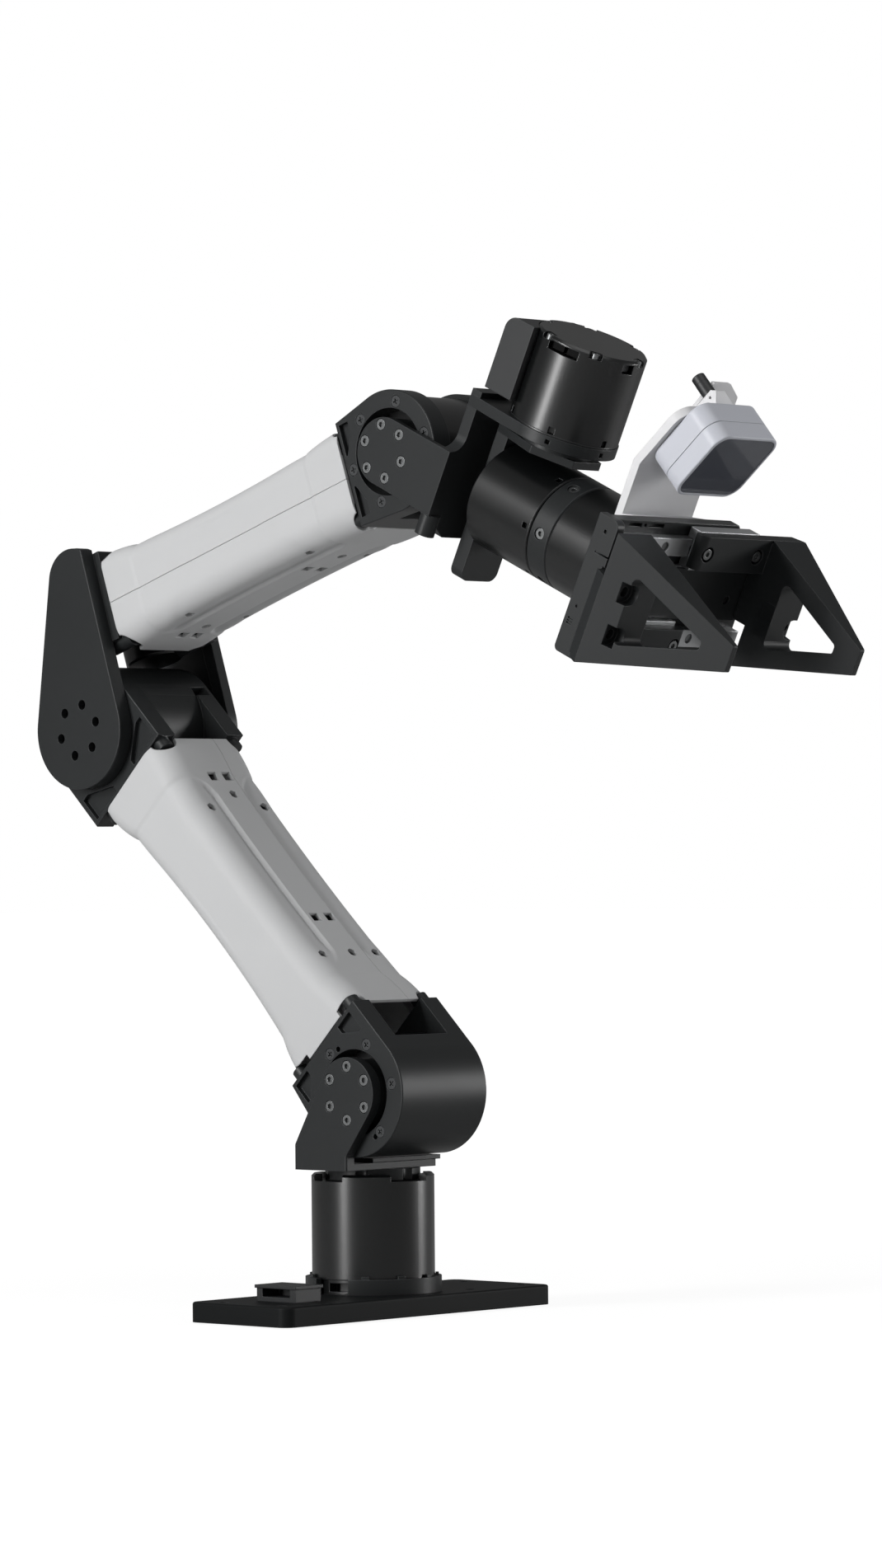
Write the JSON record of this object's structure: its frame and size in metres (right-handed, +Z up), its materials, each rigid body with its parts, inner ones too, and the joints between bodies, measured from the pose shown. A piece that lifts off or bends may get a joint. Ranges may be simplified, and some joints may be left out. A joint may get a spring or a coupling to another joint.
{
  "type": "robot arm",
  "caption": "Table-top robot arm with black motor joints, pale link covers, a wrist camera and a rack-driven parallel gripper with open triangular fingers.",
  "frame": {"origin": "on the base turn axis at the bottom face of the base plate", "axes": "+Z up along the base turn axis, +X the way the arm reaches forward, +Y to the arm's left"},
  "size_m": [0.4831, 0.196, 0.4916],
  "materials": {
    "black_metal": "satin black anodised",
    "cover_shell": "matte light grey",
    "screw_steel": "plain steel",
    "dark_steel": "blackened steel",
    "rail_steel": "ground steel",
    "rod_metal": "turned",
    "camera_case": "satin silver",
    "camera_window": "gloss dark",
    "pale_plastic": "matte pale grey",
    "black_plastic": "matte black"
  },
  "bodies": {
    "base": {"base_plate": "black_metal", "connector_box": "black_plastic", "connector_lid": "black_plastic", "base_collar": "black_metal", "base_motor_housing": "black_metal"},
    "shoulder_yaw": {"yaw_output_hub": "black_metal", "shoulder_yoke": "black_metal", "shoulder_hub_screws": "screw_steel", "shoulder_output_hub": "black_metal"},
    "upper_arm": {"shoulder_bracket": "black_metal", "shoulder_bracket_screws": "dark_steel", "shoulder_motor_housing": "black_metal", "upper_arm_rods": "rod_metal", "upper_arm_cover_near": "cover_shell", "upper_arm_cover_far": "cover_shell", "elbow_bracket": "black_metal", "elbow_motor_housing": "black_metal"},
    "forearm": {"elbow_output_hub": "black_metal", "elbow_yoke": "black_metal", "elbow_hub_screws": "dark_steel", "forearm_rods": "rod_metal", "forearm_cover_top": "cover_shell", "forearm_cover_bottom": "cover_shell", "wrist_bracket": "black_metal", "wrist_bracket_screws": "dark_steel", "wrist_motor_housing": "black_metal"},
    "wrist_pitch": {"wrist_output_hub": "black_metal", "wrist_yoke": "black_metal", "wrist_hub_screws": "screw_steel", "yaw_motor_ring": "black_metal", "yaw_motor_housing": "black_metal", "yaw_cable_box": "black_plastic"},
    "wrist_yaw": {"yaw_output_disc": "black_metal", "roll_link": "black_metal", "roll_motor_housing": "black_metal"},
    "gripper": {"roll_output_ring": "black_metal", "ring_screws": "screw_steel", "gripper_motor_housing": "black_metal", "gripper_frame": "black_metal", "guide_rail_upper": "rail_steel", "guide_rail_lower": "rail_steel", "rail_screws": "screw_steel", "gear_cover": "black_metal", "camera_bracket": "pale_plastic", "camera_back_case": "camera_case", "camera_front_case": "camera_case", "camera_window": "camera_window", "camera_clip": "pale_plastic", "camera_plug": "black_plastic"},
    "pinion": {"drive_pinion": "rail_steel"},
    "far_jaw": {"far_carriage": "rail_steel", "far_rack": "rail_steel", "far_finger": "black_metal", "far_finger_screws": "screw_steel"},
    "near_jaw": {"near_carriage": "rail_steel", "near_rack": "rail_steel", "near_finger": "black_metal", "near_finger_screws": "screw_steel"}
  },
  "joints": [
    {"name": "base_turn", "type": "hinge", "parent": "base", "child": "shoulder_yaw", "pos_m": [0, 0, 0.07], "axis": [0, 0, 1], "range_deg": [-150, 150]},
    {"name": "shoulder_swing", "type": "hinge", "parent": "shoulder_yaw", "child": "upper_arm", "pos_m": [0.0185, 0, 0.1114], "axis": [0, 1, 0], "range_deg": [-35, 90]},
    {"name": "elbow_swing", "type": "hinge", "parent": "upper_arm", "child": "forearm", "pos_m": [-0.17044, 0, 0.29578], "axis": [0, 1, 0], "range_deg": [-115, 25]},
    {"name": "wrist_tilt", "type": "hinge", "parent": "forearm", "child": "wrist_pitch", "pos_m": [0.04309, 0, 0.43005], "axis": [0, 1, 0], "range_deg": [-110, 45]},
    {"name": "wrist_turn", "type": "hinge", "parent": "wrist_pitch", "child": "wrist_yaw", "pos_m": [0.11259, 0, 0.3969], "axis": [0.4305, 0, 0.9026], "range_deg": [-90, 90]},
    {"name": "gripper_roll", "type": "hinge", "parent": "wrist_yaw", "child": "gripper", "pos_m": [0.04374, 0, 0.4314], "axis": [0.9026, 0, -0.4305], "range_deg": [-120, 120]},
    {"name": "far_jaw_slide", "type": "slide", "parent": "gripper", "child": "far_jaw", "axis": [0, -1, 0], "range_m": [0, 0.0455]},
    {"name": "near_jaw_slide", "type": "slide", "parent": "gripper", "child": "near_jaw", "axis": [0, 1, 0], "range_m": [0, 0.0455]},
    {"name": "pinion_spin", "type": "hinge", "parent": "gripper", "child": "pinion", "pos_m": [0.19537, 0, 0.35908], "axis": [0.9026, 0, -0.4305], "range_deg": [0, 261]}
  ],
  "couplings": [
    {"joint": "near_jaw_slide", "follows": "far_jaw_slide", "ratio": 1},
    {"joint": "pinion_spin", "follows": "far_jaw_slide", "rad_per_m": 100}
  ]
}
